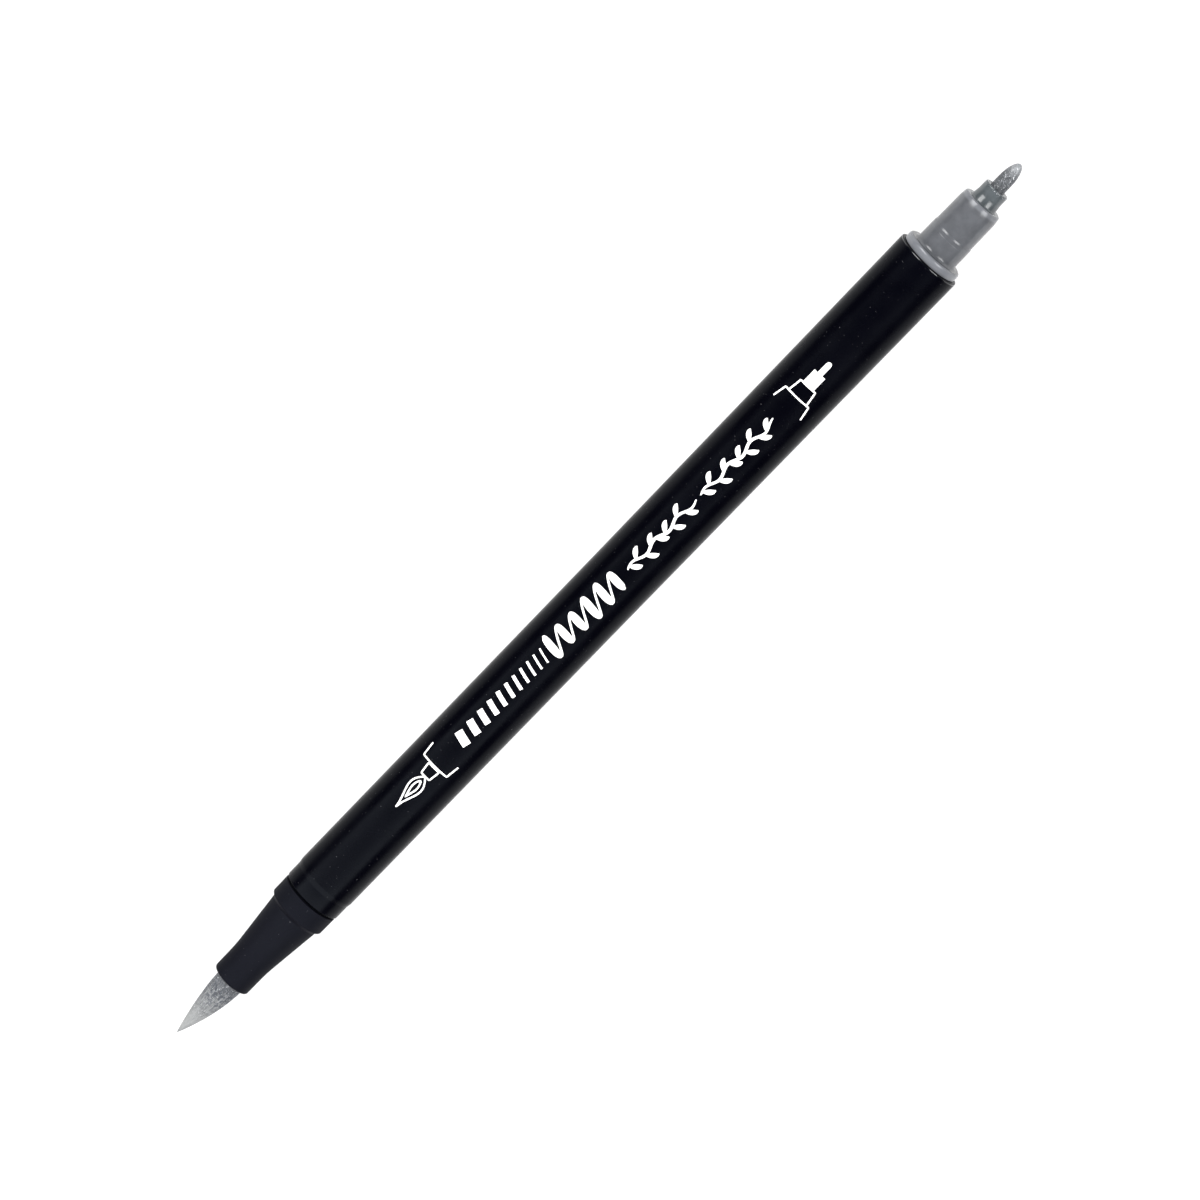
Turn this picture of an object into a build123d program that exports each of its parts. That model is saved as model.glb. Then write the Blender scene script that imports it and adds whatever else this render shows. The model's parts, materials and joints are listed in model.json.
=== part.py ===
"""A twin-tip calligraphy marker, uncapped: a flexible hair brush at one end and a fine fibre nib at the other.

The marker lies along X with the brush towards -X and the nib towards +X. Z is up, and the thick end of the
barrel touches the plane Z = 0. X = 0 is half way along the marker. All sizes are in millimetres.
"""

from build123d import *
from math import sin, radians
import os

# Driving dimensions: where the outside features lie along the axis
overall_length = 173.0
brush_tip_x = -overall_length / 2
nib_tip_x = overall_length / 2
mouth_x = -75.45  # front face of the brush grip
grip_cone_x = -71.0  # the grip starts to widen
collar_x = -61.9  # front of the grip's collar
barrel_brush_x = -58.2  # barrel end at the brush
neck_end_x = -55.9  # the barrel's neck ends here
waist_x = 6.0  # the barrel's two tapers meet here
barrel_nib_x = 67.9  # barrel end at the fine nib
flange_front_x = 69.3
seat_end_x = 72.15  # end of the cylinder that the nib's cap seals on
holder_front_x = 79.0
nib_sleeve_front_x = 81.8

# Driving dimensions: radii
barrel_rim_radius = 5.0
waist_radius = 4.8
shoulder_radius = 4.705
neck_radius = 4.59
bore_radius = 3.9
collar_radius = 4.5
collar_draft = 0.03  # a moulded collar is this much slimmer at its front
grip_end_radius = 3.975
grip_cone_radius = 3.015
mouth_radius = 2.985
tuft_radius = 2.1
flange_radius = 4.52
seat_radius = 3.31
holder_radius = 3.17
nib_sleeve_radius = 1.95
nib_radius = 1.15

# Fits
press_relief = 0.03  # a plug is this much smaller than its bore, except on its snap beads
slip = 0.02  # clearance of a fibre rod in its sleeve
seam_gap = 0.25  # the grip's collar stands this far off the barrel's end

# The brush bends at two places: where the hair leaves the grip, and half way to the point
bend_x = mouth_x
bend_limit = 20
curl_x = -81.0
curl_limit = 25
socket_clearance = 0.05

axis_height = barrel_rim_radius
pen_axis = Axis((0, 0, axis_height), (1, 0, 0))
profile_plane = Plane(origin=(0, 0, axis_height), x_dir=(1, 0, 0), z_dir=(0, -1, 0))


def cross_plane(x):
    """The plane square to the marker's axis at x, with its normal towards the nib."""
    return Plane(origin=(x, 0, axis_height), x_dir=(0, 0, 1), z_dir=(1, 0, 0))


def write(part, name):
    """Label a finished piece and write it as parts/NAME.step."""
    part.label = name
    export_step(part, f"parts/{name}.step")


os.makedirs("parts", exist_ok=True)

# Barrel: a moulded tube, open at both ends, with ribs inside that hold the reservoir and leave air channels
rib_count = 6
rib_width = 0.6
rib_height = 0.28
rib_start_x = -46.0
rib_end_x = 56.0
rib_root_depth = 0.1  # how far a rib is sunk into the wall
shoulder_length = 0.45
rim_round = 0.22

with BuildPart() as barrel:
    with BuildSketch(profile_plane):
        with BuildLine():
            Polyline(
                (barrel_brush_x, bore_radius),
                (barrel_brush_x, neck_radius),
                (neck_end_x, neck_radius),
                (neck_end_x + shoulder_length, shoulder_radius),
                (waist_x, waist_radius),
                (barrel_nib_x, barrel_rim_radius),
                (barrel_nib_x, bore_radius),
                close=True,
            )
        make_face()
    revolve(axis=pen_axis)
    nib_end_edges = barrel.edges().filter_by(GeomType.CIRCLE).group_by(Axis.X)[-1]
    fillet(nib_end_edges.sort_by(SortBy.RADIUS)[-1], radius=rim_round)
    with BuildSketch(cross_plane(rib_start_x)):
        with PolarLocations(bore_radius + (rib_root_depth - rib_height) / 2, rib_count):
            Rectangle(rib_height + rib_root_depth, rib_width)
    extrude(amount=rib_end_x - rib_start_x)
write(barrel.part, "barrel")

# Brush grip: the tapered black section that holds the brush, with a collar and a plug for the barrel
grip_rear_x = -49.6
plug_radius = bore_radius - press_relief
mouth_round = 0.42
hair_hole_radius = 2.2
mouth_bevel = 0.3
ledge_x = -67.0  # the ring at the brush's root sits on this ledge
ring_chamber_radius = 2.75
rear_chamber_x = -57.0
rear_chamber_radius = 3.1
collar_bevel = 0.5
cone_blend_radius = 28.0
bead_length = 0.8
grip_beads = (-56.2, -51.6)
collar_rear_x = barrel_brush_x - seam_gap


def bead_profile(centre):
    """A ring out to the bore's radius, which a plug is extruded with where the barrel has to hold it."""
    with BuildSketch(cross_plane(centre - bead_length / 2)) as bead:
        Circle(bore_radius)
        Circle(rear_chamber_radius, mode=Mode.SUBTRACT)
    return bead.sketch


with BuildPart() as brush_grip:
    with BuildSketch(profile_plane):
        with BuildLine():
            outside = Polyline(
                (mouth_x, hair_hole_radius + mouth_bevel),
                (mouth_x, mouth_radius),
                (grip_cone_x, grip_cone_radius),
                (collar_x, grip_end_radius),
            )
            fillet(outside.vertices().sort_by_distance((mouth_x, mouth_radius))[0], mouth_round)
            fillet(
                outside.vertices().sort_by_distance((grip_cone_x, grip_cone_radius))[0],
                cone_blend_radius,
            )
            Polyline(
                (collar_x, grip_end_radius),
                (collar_x + collar_bevel, collar_radius - collar_draft),
                (collar_rear_x, collar_radius),
                (collar_rear_x, plug_radius),
                (grip_rear_x, plug_radius),
                (grip_rear_x, rear_chamber_radius),
                (rear_chamber_x, rear_chamber_radius),
                (rear_chamber_x, ring_chamber_radius),
                (ledge_x, ring_chamber_radius),
                (ledge_x, hair_hole_radius),
                (mouth_x + mouth_bevel, hair_hole_radius),
                (mouth_x, hair_hole_radius + mouth_bevel),
            )
        make_face()
    revolve(axis=pen_axis)
    for bead_centre in grip_beads:
        extrude(bead_profile(bead_centre), amount=bead_length)
write(brush_grip.part, "brush_grip")

# Brush hair. The real hair is one bundle that bends all along its length. Here it is three solids in a row:
# a root held in the grip, and a belly and a point that turn on ball-shaped seats.
belly_ball_radius = tuft_radius - 0.02
tuft_curve = Bezier(
    (brush_tip_x, 0), (-82.4, 1.24), (-78.9, tuft_radius), (mouth_x, belly_ball_radius)
)
curl_radius = 1.45
belly_front_x = curl_x + curl_radius * sin(radians(curl_limit)) + socket_clearance
root_front_x = bend_x + belly_ball_radius * sin(radians(bend_limit)) + socket_clearance
root_rear_x = -65.9
root_radius = hair_hole_radius - slip
feed_radius = 1.1
feed_front_x = -70.5

with BuildPart() as brush_root:
    with BuildSketch(profile_plane):
        with BuildLine():
            Polyline(
                (root_front_x, 0),
                (root_front_x, root_radius),
                (root_rear_x, root_radius),
                (root_rear_x, feed_radius),
                (feed_front_x, feed_radius),
                (feed_front_x, 0),
                close=True,
            )
        make_face()
        with Locations((bend_x, 0)):
            Circle(belly_ball_radius + socket_clearance, mode=Mode.SUBTRACT)
    revolve(axis=pen_axis)
write(brush_root.part, "brush_root")

with BuildPart() as brush_belly:
    with BuildSketch(profile_plane):
        with BuildLine():
            add(tuft_curve)
            Line((brush_tip_x, 0), (mouth_x, 0))
            Line((mouth_x, 0), (mouth_x, belly_ball_radius))
        make_face()
        with Locations((belly_front_x, 0)):
            Rectangle(overall_length, overall_length, align=(Align.MAX, Align.CENTER), mode=Mode.SUBTRACT)
        with BuildLine():
            CenterArc((bend_x, 0), belly_ball_radius, 0, 90)
            Line((bend_x, belly_ball_radius), (bend_x, 0))
            Line((bend_x, 0), (bend_x + belly_ball_radius, 0))
        make_face()
        with Locations((curl_x, 0)):
            Circle(curl_radius + socket_clearance, mode=Mode.SUBTRACT)
    revolve(axis=pen_axis)
write(brush_belly.part, "brush_belly")

with BuildPart() as brush_point:
    with BuildSketch(profile_plane):
        with BuildLine():
            add(tuft_curve)
            Line((brush_tip_x, 0), (mouth_x, 0))
            Line((mouth_x, 0), (mouth_x, belly_ball_radius))
        make_face()
        with Locations((curl_x, 0)):
            Rectangle(overall_length, overall_length, align=(Align.MIN, Align.CENTER), mode=Mode.SUBTRACT)
        with BuildLine():
            CenterArc((curl_x, 0), curl_radius, 0, 90)
            Line((curl_x, curl_radius), (curl_x, 0))
            Line((curl_x, 0), (curl_x + curl_radius, 0))
        make_face()
    revolve(axis=pen_axis)
write(brush_point.part, "brush_point")

# Ring bonded round the root of the hair: it sits on the grip's ledge and stops the hair pulling out
with BuildPart() as brush_ring:
    with BuildSketch(cross_plane(ledge_x)):
        Circle(ring_chamber_radius - press_relief)
        Circle(root_radius, mode=Mode.SUBTRACT)
    extrude(amount=root_rear_x - ledge_x)
write(brush_ring.part, "brush_ring")

# Retainer: a flanged tube behind the ring, with grooves outside that let air through to the reservoir
retainer_rear_x = -50.4
retainer_flange_length = 1.2
air_groove_width = 0.7
air_groove_depth = 0.45

with BuildPart() as brush_retainer:
    with BuildSketch(cross_plane(root_rear_x)):
        Circle(ring_chamber_radius - press_relief)
    extrude(amount=retainer_rear_x - root_rear_x)
    with BuildSketch(cross_plane(rear_chamber_x)):
        Circle(rear_chamber_radius - press_relief)
    extrude(amount=retainer_flange_length)
    with BuildSketch(cross_plane(root_rear_x)):
        Circle(feed_radius + slip)
    extrude(amount=retainer_rear_x - root_rear_x, mode=Mode.SUBTRACT)
    with BuildSketch(cross_plane(root_rear_x)):
        with PolarLocations(rear_chamber_radius - air_groove_depth, 3):
            Rectangle(2 * air_groove_depth, air_groove_width)
    extrude(amount=retainer_rear_x - root_rear_x, mode=Mode.SUBTRACT)
write(brush_retainer.part, "brush_retainer")

# Ink feed: a fibre rod that carries ink from the reservoir into the heart of the hair
reservoir_play = 0.4  # end play of the reservoir between the grip's plug and the holder's
holder_rear_x = 58.6
reservoir_brush_x = grip_rear_x + reservoir_play
reservoir_nib_x = holder_rear_x - reservoir_play
feed_pierce = 4.0
feed_rear_x = reservoir_brush_x + feed_pierce

with BuildPart() as ink_feed:
    with BuildSketch(cross_plane(feed_front_x)):
        Circle(feed_radius)
    extrude(amount=feed_rear_x - feed_front_x)
write(ink_feed.part, "ink_feed")

# Reservoir: a fibre bundle soaked with ink, in a thin film sleeve
sleeve_radius = bore_radius - rib_height - slip
film_thickness = 0.1
core_recess = 0.3
nib_pierce = 5.0
nib_rear_x = reservoir_nib_x - nib_pierce
core_length = reservoir_nib_x - reservoir_brush_x - 2 * core_recess

with BuildPart() as ink_reservoir:
    with BuildSketch(cross_plane(reservoir_brush_x + core_recess)):
        Circle(sleeve_radius - film_thickness)
    extrude(amount=core_length)
    with BuildSketch(cross_plane(reservoir_brush_x)):
        Circle(feed_radius)
    extrude(amount=feed_pierce, mode=Mode.SUBTRACT)
    with BuildSketch(cross_plane(nib_rear_x)):
        Circle(nib_radius)
    extrude(amount=nib_pierce, mode=Mode.SUBTRACT)
write(ink_reservoir.part, "ink_reservoir")

with BuildPart() as reservoir_sleeve:
    with BuildSketch(cross_plane(reservoir_brush_x)):
        Circle(sleeve_radius)
        Circle(sleeve_radius - film_thickness, mode=Mode.SUBTRACT)
    extrude(amount=reservoir_nib_x - reservoir_brush_x)
write(reservoir_sleeve.part, "reservoir_sleeve")

# Nib holder: the grey stepped moulding at the fine end, with a flange that stops on the barrel
holder_beads = (61.0, 65.4)
flange_root_round = 0.35
flange_edge_round = 0.25
seat_taper = 0.7
seat_step = 0.08
front_taper_x = 77.7
front_taper = 0.09
front_round = 0.28
holder_hollow_radius = 3.1
holder_hollow_x = 68.6
shank_radius = 1.75
holder_front_radius = holder_radius - front_taper

with BuildPart() as nib_holder:
    with BuildSketch(profile_plane):
        with BuildLine():
            Polyline(
                (holder_rear_x, holder_hollow_radius),
                (holder_rear_x, plug_radius),
                (barrel_nib_x, plug_radius),
                (barrel_nib_x, flange_radius),
                (flange_front_x, flange_radius),
                (flange_front_x, seat_radius),
                (seat_end_x, seat_radius),
                (seat_end_x + seat_taper, seat_radius - seat_step),
                (front_taper_x, holder_radius),
                (holder_front_x, holder_front_radius),
                (holder_front_x, shank_radius + press_relief),
                (holder_hollow_x, shank_radius + press_relief),
                (holder_hollow_x, holder_hollow_radius),
                close=True,
            )
        make_face()
    revolve(axis=pen_axis)
    flange_edges = nib_holder.edges().filter_by(GeomType.CIRCLE).filter_by_position(
        Axis.X, flange_front_x - slip, flange_front_x + slip
    )
    fillet(flange_edges.sort_by(SortBy.RADIUS)[0], radius=flange_root_round)
    flange_rim = nib_holder.edges().filter_by(GeomType.CIRCLE).filter_by_position(
        Axis.X, flange_front_x - slip, flange_front_x + slip
    )
    fillet(flange_rim.sort_by(SortBy.RADIUS)[-1], radius=flange_edge_round)
    front_edges = nib_holder.edges().filter_by(GeomType.CIRCLE).group_by(Axis.X)[-1]
    fillet(front_edges.sort_by(SortBy.RADIUS)[-1], radius=front_round)
    for bead_centre in holder_beads:
        extrude(bead_profile(bead_centre), amount=bead_length)
write(nib_holder.part, "nib_holder")

# Nib sleeve: the small spigot that guides the nib, with a flared foot on the holder's front face
shank_rear_x = 69.4
foot_round = 0.38
lip_round = 0.16
nib_hole_radius = nib_radius + slip
hole_bevel = 0.12

with BuildPart() as nib_sleeve:
    with BuildSketch(profile_plane):
        with BuildLine():
            Polyline(
                (shank_rear_x, nib_hole_radius),
                (shank_rear_x, shank_radius),
                (holder_front_x, shank_radius),
                (holder_front_x, nib_sleeve_radius + foot_round),
            )
            RadiusArc(
                (holder_front_x, nib_sleeve_radius + foot_round),
                (holder_front_x + foot_round, nib_sleeve_radius),
                foot_round,
            )
            Polyline(
                (holder_front_x + foot_round, nib_sleeve_radius),
                (nib_sleeve_front_x, nib_sleeve_radius),
                (nib_sleeve_front_x, nib_hole_radius + hole_bevel),
                (nib_sleeve_front_x - hole_bevel, nib_hole_radius),
                (shank_rear_x, nib_hole_radius),
            )
        make_face()
    revolve(axis=pen_axis)
    front_edges = nib_sleeve.edges().filter_by(GeomType.CIRCLE).group_by(Axis.X)[-1]
    fillet(front_edges.sort_by(SortBy.RADIUS)[-1], radius=lip_round)
write(nib_sleeve.part, "nib_sleeve")

# Fine nib: one rod of bonded fibre, pointed behind to pierce the reservoir and bullet-shaped in front
bullet_x = 83.4
tail_length = 1.2
tail_radius = 0.45

with BuildPart() as fine_nib:
    with BuildSketch(profile_plane):
        with BuildLine():
            Polyline(
                (nib_tip_x, 0),
                (nib_rear_x, 0),
                (nib_rear_x, tail_radius),
                (nib_rear_x + tail_length, nib_radius),
                (bullet_x, nib_radius),
            )
            Bezier((bullet_x, nib_radius), (85.0, 1.12), (86.45, 0.7), (nib_tip_x, 0))
        make_face()
    revolve(axis=pen_axis)
write(fine_nib.part, "fine_nib")
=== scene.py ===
# %% [markdown]
# # A twin-tip calligraphy marker
# The real marker is a stack of turned and moulded parts on one axis: a black barrel, a black grip with a hair
# brush in its mouth, and at the other end a grey holder, a small spigot and a fibre nib. This lesson rebuilds
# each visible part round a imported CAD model, which fixes every size, place and joint. Lengths are in metres.
# A part's size is written as a number times `mm`, because a marker's maker thinks in millimetres.

# %% Load the frame that everything is built round
import bmesh
import bpy
import json
from math import cos, log, pi, radians, sin, tan
from mathutils import Matrix, Vector


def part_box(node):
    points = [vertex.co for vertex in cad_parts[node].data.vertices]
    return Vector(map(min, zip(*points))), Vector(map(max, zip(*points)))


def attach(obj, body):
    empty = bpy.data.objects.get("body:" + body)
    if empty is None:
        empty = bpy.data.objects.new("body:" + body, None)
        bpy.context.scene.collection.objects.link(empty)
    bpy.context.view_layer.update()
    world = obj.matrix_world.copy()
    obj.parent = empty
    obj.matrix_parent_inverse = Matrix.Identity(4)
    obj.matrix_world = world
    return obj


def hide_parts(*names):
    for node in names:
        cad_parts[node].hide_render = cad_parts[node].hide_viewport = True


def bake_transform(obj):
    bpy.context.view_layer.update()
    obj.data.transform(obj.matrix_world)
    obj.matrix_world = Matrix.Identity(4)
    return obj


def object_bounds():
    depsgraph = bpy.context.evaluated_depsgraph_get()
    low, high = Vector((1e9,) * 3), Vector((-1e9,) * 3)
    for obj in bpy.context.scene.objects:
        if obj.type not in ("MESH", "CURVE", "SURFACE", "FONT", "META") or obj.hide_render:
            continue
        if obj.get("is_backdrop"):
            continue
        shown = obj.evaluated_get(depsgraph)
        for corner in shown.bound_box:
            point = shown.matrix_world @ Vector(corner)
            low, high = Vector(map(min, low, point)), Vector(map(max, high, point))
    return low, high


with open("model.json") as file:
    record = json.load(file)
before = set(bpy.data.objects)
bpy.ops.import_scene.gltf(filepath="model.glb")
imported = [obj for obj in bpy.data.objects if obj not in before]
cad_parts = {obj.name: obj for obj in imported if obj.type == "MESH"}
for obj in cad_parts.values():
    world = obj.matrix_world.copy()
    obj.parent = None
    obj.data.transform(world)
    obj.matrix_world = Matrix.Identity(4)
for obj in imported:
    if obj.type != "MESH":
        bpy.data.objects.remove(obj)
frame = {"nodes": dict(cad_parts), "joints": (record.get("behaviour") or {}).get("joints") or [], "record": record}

mm = 0.001
cad_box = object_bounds()
record = frame["record"]

# %% [markdown]
# ## Places along the marker
# Every part is turned about one line, so a place is just an x along that line. The CAD nodes give the ends of
# each part, the joints give the two places where the hair bends, and the mounts give the two cap seats.
# Reading them here, and never typing them twice, keeps the looks true to the frame.

# %% Read the places from the CAD nodes, joints and mounts
barrel_low, barrel_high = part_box("barrel")
grip_low, grip_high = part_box("brush_grip")
holder_low, holder_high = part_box("nib_holder")
spigot_low, spigot_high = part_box("nib_sleeve")
nib_low, nib_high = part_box("fine_nib")
mounts = {mount["name"]: mount for mount in record["mounts"]}
joints = {joint["name"]: joint for joint in frame["joints"]}

axis_height = (grip_low.z + grip_high.z) / 2
rim_radius = barrel_high.z - axis_height
neck_radius = mounts["brush_cap_seat"]["dims"]["r_mm"] * mm
neck_length = mounts["brush_cap_seat"]["dims"]["length_mm"] * mm
seat_radius = mounts["fine_cap_seat"]["dims"]["r_mm"] * mm
seat_middle = mounts["fine_cap_seat"]["pos_m"][0]
seat_length = mounts["fine_cap_seat"]["dims"]["length_mm"] * mm
bend_x = joints["belly_bend"]["pos_m"][0]
curl_x = joints["point_curl"]["pos_m"][0]
mouth_x = grip_low.x
brush_tip_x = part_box("brush_point")[0].x
print("axis at", round(axis_height / mm, 2), "mm; length", round((nib_high.x - brush_tip_x) / mm, 1), "mm")

# %% [markdown]
# ## Camera
# A marker is a long thin thing, so product shots use a long lens: it keeps both ends the same thickness. The
# camera looks down on the marker, leans a little towards the nib's end, and is rolled so that the marker
# climbs across the frame. A camera's matrix is its right, up and back directions in three columns, so the
# roll is two lines of trigonometry and needs no constraint.

# %% Camera
lens_length = 285
camera_distance = 1.3205
camera_lean = radians(13.3)
camera_roll = radians(45.9)
look_at = Vector((1.25 * mm, -0.11 * mm, axis_height))

back = Vector((sin(camera_lean), 0, cos(camera_lean)))
along = Vector((cos(camera_lean), 0, -sin(camera_lean)))
across = back.cross(along)
right = along * cos(camera_roll) - across * sin(camera_roll)
up = along * sin(camera_roll) + across * cos(camera_roll)

camera_data = bpy.data.cameras.new("camera")
camera_data.lens = lens_length
camera_data.sensor_width = 36
camera_data.clip_start = 0.05
camera = bpy.data.objects.new("camera", camera_data)
camera.matrix_world = Matrix((right, up, back)).transposed().to_4x4()
camera.matrix_world.translation = look_at + back * camera_distance
bpy.context.scene.collection.objects.link(camera)
bpy.context.scene.camera = camera
print("camera at", [round(v, 3) for v in camera.location])

# %% [markdown]
# ## Floor and light
# Black satin plastic shows its shape only by what it reflects. A dark sky above keeps the barrel black, a
# bright floor draws a light edge along both sides, and two soft boxes give the grey end its paired
# highlights. A third box above the brush end lifts the grip and fades along the barrel. The floor glows a
# little, as a light table does, so that the marker's shadow stays faint.

# %% Helpers that build node trees
def add(tree, kind, inputs=None, **settings):
    """Adds a node. inputs maps a socket's name or number to a value, or to the socket that feeds it."""
    made = tree.nodes.new(kind)
    for setting, value in settings.items():
        setattr(made, setting, value)
    for key, value in (inputs or {}).items():
        if isinstance(value, bpy.types.NodeSocket):
            tree.links.new(value, made.inputs[key])
        else:
            made.inputs[key].default_value = value
    return made


def new_material(name, color, roughness, **fixed):
    """A material with one Principled shader. fixed sets more sockets, such as Metallic=1.0."""
    material = bpy.data.materials.new(name)
    material.use_nodes = True
    material.diffuse_color = (*color, 1)
    shader = material.node_tree.nodes["Principled BSDF"]
    shader.inputs["Base Color"].default_value = (*color, 1)
    shader.inputs["Roughness"].default_value = roughness
    for socket, value in fixed.items():
        shader.inputs[socket.replace("_", " ")].default_value = value
    return material, material.node_tree, shader


# %% Floor and backdrop
floor_mesh = bpy.data.meshes.new("floor")
half_floor = 6.0
floor_mesh.from_pydata(
    [(side_x * half_floor, side_y * half_floor, 0) for side_x, side_y in ((-1, -1), (1, -1), (1, 1), (-1, 1))],
    [],
    [(0, 1, 2, 3)],
)
floor = bpy.data.objects.new("floor", floor_mesh)
bpy.context.scene.collection.objects.link(floor)
floor_material, _, _ = new_material(
    "light_table", (0.28, 0.28, 0.28), 0.9,
    Specular_IOR_Level=0, Emission_Color=(1, 1, 1, 1), Emission_Strength=0.70,
)
floor_mesh.materials.append(floor_material)
floor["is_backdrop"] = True

world = bpy.data.worlds.new("studio")
world.use_nodes = True
world.node_tree.nodes["Background"].inputs["Color"].default_value = (1, 1, 1, 1)
world.node_tree.nodes["Background"].inputs["Strength"].default_value = 0.04
bpy.context.scene.world = world
bpy.context.scene.view_settings.view_transform = "Standard"

# %% Soft boxes
def soft_box(name, place, facing, size, power):
    """An area light at a place, turned to face a point. It lights the scene but isn't seen itself."""
    data = bpy.data.lights.new(name, "AREA")
    data.shape = "RECTANGLE"
    data.size, data.size_y = size
    data.energy = power
    light = bpy.data.objects.new(name, data)
    light.location = place
    light.rotation_euler = (Vector(facing) - Vector(place)).to_track_quat("-Z", "Y").to_euler()
    light.visible_camera = False
    bpy.context.scene.collection.objects.link(light)


soft_box("box_left", (0.62, 0.64, 0.80), (0.62, 0, 0), (0.90, 0.62), 20)
soft_box("box_right", (0.62, -0.72, 0.80), (0.62, 0, 0), (0.90, 0.62), 17)
soft_box("box_brush_end", (-0.42, 0.0, 0.48), (0, 0, 0), (1.75, 0.50), 12.5)

# %% [markdown]
# ## Turned parts
# On the real marker each part comes out of a round mould or off a lathe. One outline spun about the axis
# says everything about such a part, so one Geometry Nodes tree, a lathe, serves them all. The outline is a
# string of edges, x along the marker and y as the radius. The tree sweeps it round a circle so small that it
# is nearly a point, merges the poles, and lays the result on the marker's axis. A Screw modifier would do
# the same, but the tree also lays, smooths and paints the part in one place.

# %% The lathe tree
def new_tree(name, sockets):
    """A Geometry Nodes tree with named inputs. Returns the tree and its input sockets by name."""
    tree = bpy.data.node_groups.new(name, "GeometryNodeTree")
    tree.interface.new_socket("Geometry", in_out="INPUT", socket_type="NodeSocketGeometry")
    tree.interface.new_socket("Geometry", in_out="OUTPUT", socket_type="NodeSocketGeometry")
    for socket_name, kind in sockets.items():
        tree.interface.new_socket(socket_name, in_out="INPUT", socket_type="NodeSocket" + kind)
    given = tree.nodes.new("NodeGroupInput").outputs
    return tree, {socket.name: socket for socket in given if socket.name}


def deliver(tree, geometry, material):
    """Ends a tree: its instances become real, it takes a material, and it goes out."""
    real = add(tree, "GeometryNodeRealizeInstances", {"Geometry": geometry})
    painted = add(tree, "GeometryNodeSetMaterial", {"Geometry": real.outputs[0], "Material": material})
    tree.links.new(painted.outputs[0], tree.nodes.new("NodeGroupOutput").inputs[0])


lathe, given = new_tree("lathe", {"Turns": "Int", "Axis Height": "Float", "Material": "Material"})
needle = 0.0001 * mm
profile = add(lathe, "GeometryNodeMeshToCurve", {"Mesh": given["Geometry"]})
path = add(lathe, "GeometryNodeCurvePrimitiveCircle", {"Resolution": given["Turns"], "Radius": needle})
upright = add(lathe, "GeometryNodeSetCurveNormal", {"Curve": path.outputs["Curve"]}, mode="Z_UP")
swept = add(lathe, "GeometryNodeCurveToMesh", {"Curve": upright.outputs[0], "Profile Curve": profile.outputs[0]})
closed = add(lathe, "GeometryNodeMergeByDistance", {"Geometry": swept.outputs[0], "Distance": 10 * needle})
height = add(lathe, "ShaderNodeCombineXYZ", {"Z": given["Axis Height"]})
laid = add(
    lathe,
    "GeometryNodeTransform",
    {"Geometry": closed.outputs[0], "Translation": height.outputs[0], "Rotation": (0, -pi / 2, 0)},
)
smooth = add(lathe, "GeometryNodeSetShadeSmooth", {"Geometry": laid.outputs[0]})
deliver(lathe, smooth.outputs[0], given["Material"])


# %% Helpers that run a tree and keep its result
def run_tree(piece, tree, values):
    """Runs a tree on a piece with these inputs, by name, and leaves the piece a plain mesh."""
    modifier = piece.modifiers.new(tree.name, "NODES")
    modifier.node_group = tree
    for item in tree.interface.items_tree:
        if item.in_out == "INPUT" and item.name in values:
            modifier[item.identifier] = values[item.name]
    settle(piece)


def settle(piece):
    """Keeps the piece as its modifiers show it, without the modifiers, with all faces outwards."""
    bpy.context.view_layer.update()
    evaluated = piece.evaluated_get(bpy.context.evaluated_depsgraph_get())
    mesh = bpy.data.meshes.new_from_object(evaluated)
    piece.modifiers.clear()
    piece.data = mesh
    work = bmesh.new()
    work.from_mesh(mesh)
    bmesh.ops.recalc_face_normals(work, faces=work.faces)
    work.to_mesh(mesh)
    work.free()


def new_piece(name, points, edges=(), faces=()):
    """An object in the scene with this mesh, at the origin."""
    mesh = bpy.data.meshes.new(name)
    mesh.from_pydata(points, edges, faces)
    piece = bpy.data.objects.new(name, mesh)
    bpy.context.scene.collection.objects.link(piece)
    return piece


def triangles(piece):
    """How many triangles a piece comes to."""
    return sum(len(face.vertices) - 2 for face in piece.data.polygons)


# %% [markdown]
# An outline is a list of corners, each with the radius of its rounding. No moulded edge is truly sharp: the
# small arc at each corner is what catches the light. `rounded` replaces each corner by its arc, and adds
# points along the straight stretches so that no face is a long splinter.

# %% Outlines with rounded corners
arc_steps = 8
longest_step = 2.5 * mm


def rounded(corners, closed=True):
    """Points along an outline of (x, radius, rounding) corners."""
    points = []
    count = len(corners)
    for index, (x, y, rounding) in enumerate(corners):
        corner = Vector((x, y))
        is_end = not closed and index in (0, count - 1)
        if rounding == 0 or is_end:
            points.append(corner)
            continue
        to_last = (Vector(corners[index - 1][:2]) - corner).normalized()
        to_next = (Vector(corners[(index + 1) % count][:2]) - corner).normalized()
        half = to_last.angle(to_next) / 2
        centre = corner + (to_last + to_next).normalized() * rounding / sin(half)
        start = corner + to_last * rounding / tan(half) - centre
        finish = corner + to_next * rounding / tan(half) - centre
        for step in range(arc_steps + 1):
            turned = start.normalized().slerp(finish.normalized(), step / arc_steps)
            points.append(centre + turned * rounding)
    return spaced(points, closed)


def spaced(points, closed):
    """The same outline with more points on its long straight stretches."""
    result = []
    pairs = list(zip(points, points[1:] + points[:1])) if closed else list(zip(points, points[1:]))
    for first, second in pairs:
        pieces = max(1, round((second - first).length / longest_step))
        result += [first.lerp(second, step / pieces) for step in range(pieces)]
    return result if closed else result + [points[-1]]


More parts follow.
